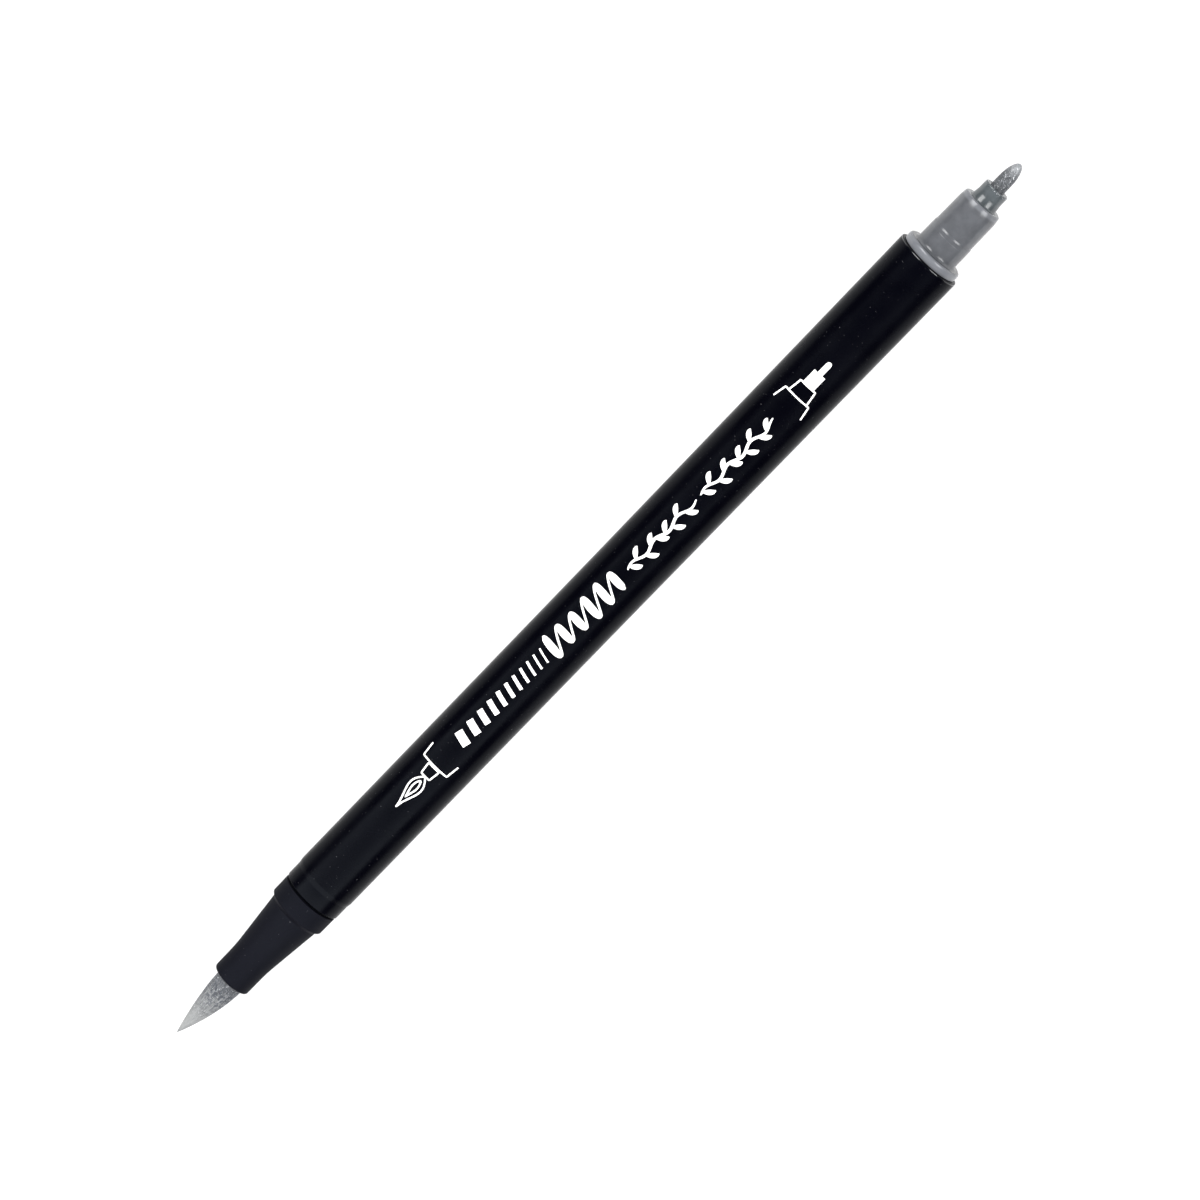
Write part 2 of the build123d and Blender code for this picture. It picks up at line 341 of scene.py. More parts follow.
def turn(name, outline, material, closed=True, turns=160):
    """Spins an outline about the marker's axis into a piece."""
    count = len(outline)
    edges = [(index, index + 1) for index in range(count - 1)] + ([(count - 1, 0)] if closed else [])
    piece = new_piece(name, [(point.y, point.x, 0) for point in outline], edges)
    run_tree(piece, lathe, {"Turns": turns, "Axis Height": axis_height, "Material": material})
    print(name, "outline points", count, "triangles", triangles(piece))
    return piece


# %% [markdown]
# ## Barrel
# The barrel is a long black tube with a satin skin. It swells slowly from its shoulder to its waist and
# twice as fast from waist to rim, and at the brush end it steps down to the neck that the cap grips. The
# skin's grain is far finer than the eye sees at arm's length, so it is a bump in the material, while the
# step and the rounded rim are real geometry.

# %% Black satin plastic
def object_place(tree):
    """The socket that gives a point's place on the piece."""
    return tree.nodes.new("ShaderNodeTexCoord").outputs["Object"]


def along_marker(tree, place):
    """The socket that gives how far along the marker a place is."""
    return add(tree, "ShaderNodeSeparateXYZ", {"Vector": place}).outputs["X"]


def noise(tree, place, size, detail=2, roughness=0.5):
    """Smooth noise whose blobs are about this size."""
    return add(
        tree, "ShaderNodeTexNoise", {"Vector": place, "Scale": 1 / size, "Detail": detail, "Roughness": roughness}
    ).outputs["Fac"]


def spread(tree, value, low, high, to_low=0.0, to_high=1.0, shape="SMOOTHSTEP"):
    """Maps low..high to to_low..to_high, smoothly or, as LINEAR, evenly."""
    return add(
        tree,
        "ShaderNodeMapRange",
        {"Value": value, "From Min": low, "From Max": high, "To Min": to_low, "To Max": to_high},
        interpolation_type=shape,
    ).outputs["Result"]


def blend_colors(tree, share, first, second):
    """A colour between two, which may each be a colour or a socket."""
    mixed = add(tree, "ShaderNodeMix", {"Factor": share, 6: first, 7: second}, data_type="RGBA")
    return mixed.outputs[2]


def math(tree, operation, *values):
    """One sum on values or sockets."""
    return add(tree, "ShaderNodeMath", dict(enumerate(values)), operation=operation).outputs[0]


def bumps(tree, shader, height, depth, strength=1.0):
    """Raises the surface by height times depth, in metres."""
    bump = add(tree, "ShaderNodeBump", {"Height": height, "Distance": depth, "Strength": strength})
    tree.links.new(bump.outputs[0], shader.inputs["Normal"])


def black_plastic(name, tone, roughness, grain, shine):
    """Moulded black plastic: a fine grain, faint clouds in its gloss, and a little dust."""
    material, tree, shader = new_material(
        name, tone, roughness, Specular_IOR_Level=shine, Specular_Tint=(0.78, 0.88, 1.0, 1)
    )
    place = object_place(tree)
    clouds = noise(tree, place, 6 * mm, 3)
    fine = noise(tree, place, grain, 3, 0.6)
    dust = spread(tree, noise(tree, place, 0.22 * mm, 1), 0.76, 0.80)
    lighter = tuple(2 * channel + 0.001 for channel in tone) + (1,)
    worn = blend_colors(tree, spread(tree, clouds, 0.3, 0.7, 0, 0.12), (*tone, 1), lighter)
    tree.links.new(blend_colors(tree, dust, worn, (0.06, 0.06, 0.064, 1)), shader.inputs["Base Color"])
    tree.links.new(spread(tree, clouds, 0.25, 0.75, roughness - 0.05, roughness + 0.05), shader.inputs["Roughness"])
    bumps(tree, shader, fine, 0.01 * mm, 0.5)
    return material


barrel_material = black_plastic("satin_black", (0.0004, 0.0004, 0.0014), 0.27, 0.12 * mm, 0.052)

# %% Barrel shell
bore_radius = 3.9 * mm
shoulder_radius = 4.705 * mm
shoulder_length = 0.70 * mm
waist_radius = 4.8 * mm
waist_x = 6.0 * mm
rim_overhang = 0.28 * mm
rim_x = barrel_high.x + rim_overhang
neck_end_x = barrel_low.x + neck_length
shoulder_x = neck_end_x + shoulder_length

barrel_outline = rounded([
    (barrel_low.x, bore_radius, 0.08 * mm),
    (barrel_low.x, neck_radius, 0.12 * mm),
    (neck_end_x, neck_radius, 0.80 * mm),
    (shoulder_x, shoulder_radius, 1.50 * mm),
    (waist_x, waist_radius, 900 * mm),
    (rim_x, rim_radius, 0.22 * mm),
    (rim_x, bore_radius, 0.08 * mm),
])
barrel = turn("barrel_shell", barrel_outline, barrel_material, turns=192)

# Handling polishes the rounded rim, so only a thin band there is glossy.
barrel_tree = barrel_material.node_tree
barrel_shader = barrel_tree.nodes["Principled BSDF"]
barrel_shader.inputs["Coat Roughness"].default_value = 0.12
barrel_x = along_marker(barrel_tree, object_place(barrel_tree))
rim_start = spread(barrel_tree, barrel_x, rim_x - 0.26 * mm, rim_x - 0.20 * mm)
rim_end = spread(barrel_tree, barrel_x, rim_x - 0.07 * mm, rim_x - 0.12 * mm)
barrel_tree.links.new(math(barrel_tree, "MULTIPLY", rim_start, rim_end), barrel_shader.inputs["Coat Weight"])
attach(barrel, "marker")
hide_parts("barrel")

# %% [markdown]
# ## White print
# The print is screen ink a few hundredths of a millimetre thick, which follows the barrel's curve. Each line of
# it is drawn flat as a list of (x, y, width) places, then a Geometry Nodes tree rounds the corners, gives the
# line its width, and rolls it onto the barrel: a distance across becomes an angle round the axis. The ink
# sinks a little into the barrel, so no gap shows under it. The artwork is this lesson's own: a picture of
# each tip, a scale of bars, a practice wave and two vines.

# %% The tree that prints lines on the barrel
printer, given = new_tree("print_on_barrel", {
    "Corner": "Float", "Spacing": "Float", "Across": "Int", "Ink": "Float", "Sunk": "Float", "Axis Height": "Float",
    "Shoulder X": "Float", "Shoulder Radius": "Float", "Waist X": "Float", "Waist Radius": "Float",
    "Rim X": "Float", "Rim Radius": "Float", "Material": "Material",
})
drawn = add(printer, "GeometryNodeMeshToCurve", {"Mesh": given["Geometry"]}).outputs[0]
eased = add(
    printer, "GeometryNodeFilletCurve", {"Curve": drawn, "Count": 4, "Radius": given["Corner"], "Limit Radius": True},
    mode="POLY",
).outputs[0]
even = add(
    printer, "GeometryNodeResampleCurve", {"Curve": eased, "Length": given["Spacing"]}, mode="LENGTH"
).outputs[0]
flat = add(printer, "GeometryNodeSetCurveNormal", {"Curve": even}, mode="Z_UP").outputs[0]
slab_height = math(printer, "DIVIDE", 1.0, given["Across"])
slab = add(printer, "GeometryNodeCurvePrimitiveQuadrilateral", {"Width": 1.0, "Height": slab_height}).outputs[0]
slab_count = math(printer, "MULTIPLY_ADD", given["Across"], 2.0, 2.0)
slab = add(printer, "GeometryNodeResampleCurve", {"Curve": slab, "Count": slab_count}).outputs[0]
line_width = add(printer, "GeometryNodeInputNamedAttribute", {"Name": "width"}, data_type="FLOAT").outputs[0]
ribbon = add(
    printer, "GeometryNodeCurveToMesh",
    {"Curve": flat, "Profile Curve": slab, "Scale": line_width, "Fill Caps": True},
).outputs[0]
where = add(printer, "ShaderNodeSeparateXYZ", {"Vector": printer.nodes.new("GeometryNodeInputPosition").outputs[0]})
swells = [
    spread(
        printer, where.outputs["X"], given[first + " X"], given[second + " X"],
        given[first + " Radius"], given[second + " Radius"], "LINEAR",
    )
    for first, second in (("Shoulder", "Waist"), ("Waist", "Rim"))
]
skin = math(printer, "MAXIMUM", *swells)
is_top = math(printer, "GREATER_THAN", where.outputs["Z"], 0.0)
ink_step = math(printer, "MULTIPLY", is_top, math(printer, "ADD", given["Ink"], given["Sunk"]))
from_axis = math(printer, "SUBTRACT", math(printer, "ADD", skin, ink_step), given["Sunk"])
roll = math(printer, "DIVIDE", where.outputs["Y"], skin)
rolled = add(printer, "ShaderNodeCombineXYZ", {
    "X": where.outputs["X"],
    "Y": math(printer, "MULTIPLY", from_axis, math(printer, "SINE", roll)),
    "Z": math(printer, "MULTIPLY_ADD", from_axis, math(printer, "COSINE", roll), given["Axis Height"]),
}).outputs[0]
on_barrel = add(printer, "GeometryNodeSetPosition", {"Geometry": ribbon, "Position": rolled}).outputs[0]
deliver(printer, on_barrel, given["Material"])

# %% White ink
ink_material, ink_tree, ink_shader = new_material("white_ink", (0.86, 0.86, 0.84), 0.55, Specular_IOR_Level=0.3)
ink_place = object_place(ink_tree)
ink_thin = spread(ink_tree, noise(ink_tree, ink_place, 0.35 * mm, 4, 0.6), 0.25, 0.45)
ink_tree.links.new(
    blend_colors(ink_tree, ink_thin, (0.66, 0.66, 0.66, 1), (0.90, 0.90, 0.88, 1)), ink_shader.inputs["Base Color"]
)
bumps(ink_tree, ink_shader, noise(ink_tree, ink_place, 0.1 * mm, 3), 0.01 * mm)


# %% Helpers that draw lines
ink_thickness = 0.03 * mm


def print_line(x):
    """The print isn't quite straight on the barrel. This is how far off its middle is at x."""
    return 0.08 * mm - 0.0056 * x


def print_strokes(name, strokes, corner=0.0, across=4, spacing=0.16 * mm):
    """Prints strokes, each a list of (x, y, width) in millimetres, as one piece."""
    points, widths, edges = [], [], []
    for stroke in strokes:
        is_closed = stroke[0] == stroke[-1]
        first = len(points)
        for x, y, width in stroke[:-1] if is_closed else stroke:
            points.append((x * mm, y * mm + print_line(x * mm), 0))
            widths.append(width * mm)
        last = len(points) - 1
        edges += [(i, i + 1) for i in range(first, last)] + ([(last, first)] if is_closed else [])
    piece = new_piece(name, points, edges)
    piece.data.attributes.new("width", "FLOAT", "POINT").data.foreach_set("value", widths)
    run_tree(piece, printer, {
        "Corner": corner, "Spacing": spacing, "Across": across, "Ink": ink_thickness, "Sunk": ink_thickness,
        "Axis Height": axis_height, "Shoulder X": shoulder_x, "Shoulder Radius": shoulder_radius,
        "Waist X": waist_x, "Waist Radius": waist_radius, "Rim X": rim_x, "Rim Radius": rim_radius,
        "Material": ink_material,
    })
    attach(piece, "marker")
    print(name, "strokes", len(strokes), "triangles", triangles(piece))


# %% [markdown]
# The two pictures show which tip is at which end. They are drawn in lines as wide as a fine pen's, with a
# bracket that stands for the cap's edge.

# %% Pictures of the two tips
line = 0.24


def leaf(from_x, to_x, middle, half_height, fullest, count=24):
    """A closed line round a pointed tuft, fullest at a share of its length."""
    upper, lower = [], []
    for step in range(count + 1):
        share = step / count
        swell = sin(pi * share ** (log(0.5) / log(fullest)))
        x = from_x + (to_x - from_x) * share
        upper.append((x, middle + half_height * swell, line))
        lower.append((x, middle - half_height * swell, line))
    return upper + lower[-2:0:-1] + [upper[0]]


brush_picture = [
    leaf(-39.5, -33.2, 0.0, 1.02, 0.68),
    leaf(-37.4, -34.0, 0.02, 0.40, 0.62),
    [(-33.2, 0.78, line), (-31.4, 1.02, line), (-31.4, -1.02, line), (-33.2, -0.78, line), (-33.2, 0.78, line)],
    [(-29.1, 2.72, line), (-31.2, 2.44, line), (-31.2, -2.24, line), (-29.1, -2.52, line)],
]
print_strokes("print_brush_picture", brush_picture, corner=0.12 * mm)

nib_picture = [
    [(40.2, 2.64, line), (42.3, 2.22, line), (42.3, -2.24, line), (40.2, -2.68, line)],
    [(42.4, 1.58, line), (44.5, 1.30, line), (44.5, -1.44, line), (42.4, -1.78, line)],
    [(44.6, -0.05, 2.0), (46.9, -0.05, 2.0)],
    [(46.8, -0.05, 0.85), (48.6, -0.05, 0.85), (48.95, -0.05, 0.66), (49.1, -0.05, 0.3)],
]
print_strokes("print_nib_picture", nib_picture, corner=0.10 * mm, across=10)

# %% [markdown]
# The bars show the widths of stroke that the two tips give, from the widest to the finest. The wave is the
# drill that every lettering book starts with: the hand presses on the way down and lifts on the way up, so the
# line's width follows its direction. A few lines of arithmetic draw each.

# %% Scale of bars
bar_count = 11
widest_bar = 1.30
finest_bar = 0.26
bar_slant = 0.28
bar_half_height = 1.12
bar_gap = 0.96
bars = []
bar_x = -25.5
for number in range(bar_count):
    bar_width = widest_bar * (finest_bar / widest_bar) ** (number / (bar_count - 1))
    bars.append([(bar_x + end * bar_slant, end * bar_half_height, bar_width) for end in (-1, 1)])
    bar_x += bar_width + bar_gap
print_strokes("print_bars", bars, across=8)

# %% Practice wave
wave_start, wave_end = -7.9, 6.6
wave_turns = 5.5
wave_steps = 220
wave_slant = 0.32
wave_height, wave_swell = 1.74, 0.22
thin_line, pressed_more = 0.30, 0.86
wave = []
for step in range(wave_steps + 1):
    share = step / wave_steps
    turn_angle = 2 * pi * wave_turns * share
    swing_height = wave_height + wave_swell * cos(2 * pi * share * 1.5)
    y = swing_height * cos(turn_angle)
    pressure = max(sin(turn_angle), 0) ** 0.8
    x = wave_start + (wave_end - wave_start) * share + wave_slant * y
    wave.append((x, y, thin_line + pressed_more * pressure))
print_strokes("print_wave", [wave], across=8, spacing=0.12 * mm)

# %% Vines
stem_wave, stem_height = 4.6, 0.34
leaf_spacing, leaf_length, leaf_reach = 1.38, 1.45, 1.22
leaf_steps = 9


def vine(from_x, to_x):
    """A wavy stem with leaves that grow from it on alternate sides."""
    def stem(x):
        return stem_height * sin(2 * pi * (x - from_x) / stem_wave)

    steps = round((to_x - from_x) / 0.2)
    xs = [from_x + (to_x - from_x) * step / steps for step in range(steps + 1)]
    strokes = [[(x, stem(x), 0.14 + 0.30 * sin(pi * (x - from_x) / (to_x - from_x)) ** 0.4) for x in xs]]
    for number in range(int((to_x - from_x - 0.8) / leaf_spacing)):
        root = from_x + 0.5 + number * leaf_spacing
        side = 1 if number % 2 else -1
        blade = []
        for step in range(leaf_steps + 1):
            share = step / leaf_steps
            x = root + leaf_length * share
            y = stem(root) + side * leaf_reach * sin(share * pi / 2)
            blade.append((x, y, 0.12 + 0.66 * sin(pi * min(share + 0.02, 1)) ** 0.8))
        strokes.append(blade)
    return strokes


print_strokes("print_vine", vine(8.2, 22.1) + vine(23.0, 37.9), across=6, spacing=0.14 * mm)

# %% [markdown]
# ## Brush grip
# The grip is a separate moulding that plugs into the barrel. Its collar stops just short of the barrel, so a
# thin dark seam runs round the marker. Its mouth is bevelled inside and rounded outside. It is a shade
# lighter and duller than the barrel, because it has no lacquer.

# %% Grip shell
grip_material = black_plastic("moulded_black", (0.0022, 0.0022, 0.0042), 0.60, 0.16 * mm, 0.07)
hair_hole_radius = 2.2 * mm
mouth_radius = 2.985 * mm
cone_x = -71.0 * mm
cone_radius = 3.015 * mm
cone_end_x = -61.9 * mm
cone_end_radius = 3.975 * mm
collar_bevel = 0.5 * mm
collar_radius = grip_high.z - axis_height
collar_draft = 0.03 * mm
seam_gap = 0.36 * mm
collar_rear_x = barrel_low.x - seam_gap
plug_radius = 3.87 * mm
plug_bore_radius = 3.1 * mm
chamber_x = -57.0 * mm
chamber_radius = 2.75 * mm
ledge_x = -67.0 * mm
mouth_bevel = 0.3 * mm

grip_outline = rounded([
    (mouth_x, hair_hole_radius + mouth_bevel, 0.10 * mm),
    (mouth_x, mouth_radius, 0.42 * mm),
    (cone_x, cone_radius, 28 * mm),
    (cone_end_x, cone_end_radius, 0.40 * mm),
    (cone_end_x + collar_bevel, collar_radius - collar_draft, 0.18 * mm),
    (collar_rear_x, collar_radius, 0.14 * mm),
    (collar_rear_x, plug_radius, 0.05 * mm),
    (grip_high.x, plug_radius, 0.10 * mm),
    (grip_high.x, plug_bore_radius, 0.10 * mm),
    (chamber_x, plug_bore_radius, 0.05 * mm),
    (chamber_x, chamber_radius, 0.05 * mm),
    (ledge_x, chamber_radius, 0.05 * mm),
    (ledge_x, hair_hole_radius, 0.05 * mm),
    (mouth_x + mouth_bevel, hair_hole_radius, 0.10 * mm),
])
grip = turn("grip_shell", grip_outline, grip_material, turns=160)
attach(grip, "marker")
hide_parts("brush_grip")

# %% [markdown]
# ## Nib holder, spigot and nib
# The fine end is three pieces in three greys. The holder is a mid grey moulding with a flange, a cap seat and
# a fine step. The spigot is darker and glossier, and flares where it meets the holder. The nib is a rod of
# bonded fibre, ground to a bullet, and silver ink dries on it as glitter.

# %% Grey plastics
def grey_plastic(name, tone, roughness, specular, lit_flange_until=None, lit_front_from=None):
    """Plain moulded plastic with faint flow marks and a fine matt grain. Its two thin ends can get painted light: a
    paler tone where their rounded edges catch the soft boxes.
    """
    material, tree, shader = new_material(name, tone, roughness, Specular_IOR_Level=specular)
    place = object_place(tree)
    flow = noise(tree, place, 1.5 * mm, 3)
    fine = noise(tree, place, 0.07 * mm, 2)
    darker = tuple(0.89 * channel for channel in tone) + (1,)
    lighter = tuple(1.09 * channel for channel in tone) + (1,)
    plain = blend_colors(tree, spread(tree, flow, 0.3, 0.7), darker, lighter)
    # Painted light: the flange and the front end are made paler, standing in for the light that their rounded edges
    # catch from the soft boxes.
    if lit_flange_until:
        x = along_marker(tree, place)
        flange_light_share = spread(tree, x, lit_flange_until, lit_flange_until - 0.15 * mm)
        front_light_share = spread(tree, x, lit_front_from, lit_front_from + 0.4 * mm, 0, 0.8)
        paler = tuple(1.75 * channel for channel in tone) + (1,)
        plain = blend_colors(tree, math(tree, "MAXIMUM", flange_light_share, front_light_share), plain, paler)
    tree.links.new(plain, shader.inputs["Base Color"])
    tree.links.new(spread(tree, fine, 0.2, 0.8, roughness - 0.04, roughness + 0.06), shader.inputs["Roughness"])
    bumps(tree, shader, fine, 0.006 * mm, 0.4)
    return material


flange_front_x = seat_middle - seat_length / 2 - 0.20 * mm
# The holder's flange and front end are painted paler, as painted light on edges that catch the soft boxes.
holder_material = grey_plastic(
    "holder_grey", (0.068, 0.071, 0.078), 0.20, 0.42, lit_flange_until=flange_front_x, lit_front_from=holder_high.x - 0.9 * mm
)
spigot_material = grey_plastic("spigot_grey", (0.054, 0.062, 0.067), 0.20, 0.55)

# %% Holder and spigot shells
flange_radius = 4.52 * mm
seat_edge_x = seat_middle + seat_length / 2 + 0.12 * mm
seat_end_x = seat_middle + seat_length / 2 + 0.73 * mm
body_radius = seat_radius - 0.08 * mm
front_taper_x = holder_high.x - 1.15 * mm
front_taper_radius = 3.17 * mm
front_radius = 3.01 * mm
shank_radius = 1.75 * mm
shank_hole_radius = shank_radius + 0.03 * mm
front_wall_x = 68.6 * mm
edge_depth = 0.015 * mm

holder_outline = rounded([
    (holder_low.x, plug_bore_radius, 0.10 * mm),
    (holder_low.x, plug_radius, 0.10 * mm),
    (rim_x, plug_radius, 0.05 * mm),
    (rim_x, flange_radius, 0.12 * mm),
    (flange_front_x, flange_radius - 0.03 * mm, 0.42 * mm),
    (flange_front_x, seat_radius + 0.05 * mm, 0.52 * mm),
    (flange_front_x + 0.9 * mm, seat_radius, 1.2 * mm),
    (seat_edge_x, seat_radius, 0.03 * mm),
    (seat_edge_x + 0.04 * mm, seat_radius - edge_depth, 0.03 * mm),
    (seat_end_x, seat_radius - edge_depth, 0.10 * mm),
    (seat_end_x + 0.26 * mm, body_radius - 0.02 * mm, 0.10 * mm),
    (front_taper_x, front_taper_radius, 5.0 * mm),
    (holder_high.x, front_radius, 0.32 * mm),
    (holder_high.x, shank_hole_radius, 0.03 * mm),
    (front_wall_x, shank_hole_radius, 0.05 * mm),
    (front_wall_x, plug_bore_radius, 0.10 * mm),
])
holder = turn("holder_shell", holder_outline, holder_material)
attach(holder, "marker")
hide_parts("nib_holder")

spigot_radius = 1.95 * mm
foot = 0.38 * mm
lip_length = 0.32 * mm
nib_radius = nib_high.z - axis_height
hole_radius = nib_radius + 0.02 * mm
spigot_outline = rounded([
    (spigot_low.x, hole_radius, 0),
    (spigot_low.x, shank_radius, 0.05 * mm),
    (holder_high.x, shank_radius, 0),
    (holder_high.x, spigot_radius + foot, 0.02 * mm),
    (holder_high.x + 0.03 * mm, spigot_radius + foot, 0.02 * mm),
    (holder_high.x + 0.10 * mm, spigot_radius + 0.16 * mm, 0.20 * mm),
    (holder_high.x + 1.15 * mm, spigot_radius, 0.60 * mm),
    (spigot_high.x - lip_length, spigot_radius, 0),
    (spigot_high.x, spigot_radius, 0.18 * mm),
    (spigot_high.x, hole_radius, 0.12 * mm),
])
spigot = turn("spigot_shell", spigot_outline, spigot_material, turns=128)
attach(spigot, "marker")
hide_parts("nib_sleeve")

# %% Fibre nib
def fibre_ink(name, dark, light, blotch):
    """Fibre soaked with silver ink: dark where it is wet, light where the silver has dried."""
    material, tree, shader = new_material(name, light, 0.45, Specular_IOR_Level=0.6)
    place = object_place(tree)
    wet = noise(tree, place, blotch, 4, 0.65)
    silver = noise(tree, place, 0.06 * mm, 2, 0.7)
    shade = math(tree, "ADD", math(tree, "MULTIPLY", wet, 0.55), math(tree, "MULTIPLY", silver, 0.45))
    x = along_marker(tree, place)
    drier = spread(tree, x, nib_high.x - 2.4 * mm, nib_high.x - 0.2 * mm, -0.03, 0.26)
    shade = math(tree, "ADD", shade, drier)
    tree.links.new(
        blend_colors(tree, spread(tree, shade, 0.38, 0.85), (*dark, 1), (*light, 1)), shader.inputs["Base Color"]
    )
    tree.links.new(spread(tree, silver, 0.5, 0.7, 0.0, 0.4), shader.inputs["Metallic"])
    bumps(tree, shader, silver, 0.02 * mm, 0.8)
    return material


nib_material = fibre_ink("inked_fibre", (0.022, 0.025, 0.030), (0.21, 0.22, 0.23), 0.35 * mm)
bullet_points = 24
bullet_length = 3.1 * mm
bullet = [
    Vector((nib_high.x - bullet_length, nib_radius)),
    Vector((nib_high.x - 1.5 * mm, 0.97 * nib_radius)),
    Vector((nib_high.x - 0.05 * mm, 0.61 * nib_radius)),
    Vector((nib_high.x, 0)),
]


def bezier(corners, share):
    """A point of the smooth curve that four corners pull."""
    a, b, c, d = corners
    rest = 1 - share
    return a * rest**3 + b * 3 * rest**2 * share + c * 3 * rest * share**2 + d * share**3


nib_rod = [
    Vector((nib_low.x, 0)), Vector((nib_low.x, 0.45 * mm)), Vector((nib_low.x + 1.2 * mm, nib_radius)),
    Vector((spigot_high.x, nib_radius)), bullet[0],
]
nib_outline = spaced(nib_rod, False)
nib_outline += [bezier(bullet, step / bullet_points) for step in range(1, bullet_points + 1)]
nib = turn("nib_rod", nib_outline, nib_material, closed=False, turns=96)
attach(nib, "marker")
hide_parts("fine_nib")

# %% [markdown]
# ## Silver glitter
# Metallic ink dries as tiny plates that lie on the fibre at odd angles, and each one flashes at its own angle.
# The tree scatters points over a copy of a piece, stands a thin six-sided plate on each, tips it at random
# and keeps only the plates. It serves the nib, the spigot's lip and, further on, the hair. They are real
# plates, not a texture, so that they flash from every side.

# %% The tree that scatters flakes
flaker, given = new_tree("flakes", {
    "Density": "Float", "From X": "Float", "To X": "Float", "Flake Radius": "Float", "Tilt": "Float",
    "Lift": "Float", "Seed": "Int", "Material": "Material",
})
spot_x = along_marker(flaker, flaker.nodes.new("GeometryNodeInputPosition").outputs[0])
in_range = add(flaker, "FunctionNodeBooleanMath", {
    0: math(flaker, "GREATER_THAN", spot_x, given["From X"]), 1: math(flaker, "LESS_THAN", spot_x, given["To X"]),
}).outputs[0]
spots = add(flaker, "GeometryNodeDistributePointsOnFaces", {
    "Mesh": given["Geometry"], "Selection": in_range, 4: given["Density"], "Seed": given["Seed"],
})
least_tilt = math(flaker, "MULTIPLY", given["Tilt"], -1.0)
tips = []
for salt in (1, 2):
    salted = math(flaker, "ADD", given["Seed"], salt)
    tips.append(add(
        flaker, "FunctionNodeRandomValue", {2: least_tilt, 3: given["Tilt"], "Seed": salted}, data_type="FLOAT"
    ).outputs[1])
tip = add(flaker, "ShaderNodeCombineXYZ", {"X": tips[0], "Y": tips[1]}).outputs[0]
tip_turn = add(flaker, "FunctionNodeEulerToRotation", {"Euler": tip}).outputs[0]
tipped = add(
    flaker, "FunctionNodeRotateRotation", {0: spots.outputs["Rotation"], 1: tip_turn}, rotation_space="LOCAL"
).outputs[0]
size_seed = math(flaker, "ADD", given["Seed"], 3)
size = add(flaker, "FunctionNodeRandomValue", {2: 0.4, 3: 1.0, "Seed": size_seed}, data_type="FLOAT").outputs[1]
plate_depth = math(flaker, "MULTIPLY", given["Flake Radius"], 0.16)
plate = add(
    flaker, "GeometryNodeMeshCylinder", {"Vertices": 6, "Radius": given["Flake Radius"], "Depth": plate_depth}
).outputs["Mesh"]
standing = add(flaker, "GeometryNodeInstanceOnPoints", {
    "Points": spots.outputs["Points"], "Instance": plate, "Rotation": tipped, "Scale": size,
}).outputs[0]
lifted = add(flaker, "GeometryNodeTranslateInstances", {
    "Instances": standing, "Translation": add(flaker, "ShaderNodeCombineXYZ", {"Z": given["Lift"]}).outputs[0],
    "Local Space": True,
}).outputs[0]
deliver(flaker, lifted, given["Material"])

silver_material, silver_tree, silver_shader = new_material("silver_flakes", (0.62, 0.63, 0.65), 0.28, Metallic=1.0)
silver_place = object_place(silver_tree)
silver_tree.links.new(
    blend_colors(
        silver_tree,
        spread(silver_tree, noise(silver_tree, silver_place, 0.12 * mm, 1), 0.35, 0.65),
        (0.24, 0.25, 0.28, 1),
        (0.66, 0.67, 0.69, 1),
    ),
    silver_shader.inputs["Base Color"],
)


def flake_piece(name, surface, **values):
    """Flakes on a copy of a piece's surface, between two places."""
    piece = bpy.data.objects.new(name, surface.data.copy())
    bpy.context.scene.collection.objects.link(piece)
    inputs = {
        "Density": 1.0, "From X": -1.0, "To X": 1.0, "Flake Radius": 0.05 * mm, "Tilt": radians(24), "Lift": 0.0,
        "Seed": 3, "Material": silver_material,
    }
    inputs.update({key.replace("_", " "): value for key, value in values.items()})
    run_tree(piece, flaker, inputs)
    print(name, "triangles", triangles(piece))
    return piece


per_mm2 = 1 / mm**2
nib_flakes = flake_piece(
    "nib_flakes", nib, Density=24 * per_mm2, From_X=spigot_high.x, To_X=nib_high.x - 0.12 * mm, Flake_Radius=0.058 * mm
)
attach(nib_flakes, "marker")
lip_flakes = flake_piece(
    "lip_flakes", spigot, Density=16 * per_mm2, From_X=spigot_high.x - 0.30 * mm, Flake_Radius=0.06 * mm, Seed=5
)
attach(lip_flakes, "marker")

# %% [markdown]
# ## Hair
# The brush is several hundred fine synthetic hairs, drawn to a point by wet silver ink. Its outline follows a
# rule: full at the mouth, closing slowly at first and then straight to the tip. A core fills the bundle, and
# single hairs lie over it. One Geometry Nodes tree lays the hairs: each starts from its own angle and depth,
# follows the rule, wanders a little and ends at its own length. The hair bends at two joints, and a piece
# can bend across one only, so both core and hairs are cut between the joints, where they move as one body.

# %% The rule for the bundle's radius
hair_radius_at_mouth = 2.15 * mm
hair_thickness = 0.09 * mm
fullness = 1.75
hair_rear_x = mouth_x + 0.65 * mm
cut_x = (bend_x + curl_x) / 2 - 0.5 * mm
lean = 0.42 * mm
lean_back = 0.2


def hair_share(x):
    """0 at the tip and 1 at the mouth."""
    return min(max((x - brush_tip_x) / (mouth_x - brush_tip_x), 0), 1)


def bundle_radius(x):
    """The bundle's radius at x."""
    return hair_radius_at_mouth * (1 - (1 - hair_share(x)) ** fullness)


print("bundle radius at the cut", round(bundle_radius(cut_x) / mm, 3), "mm")

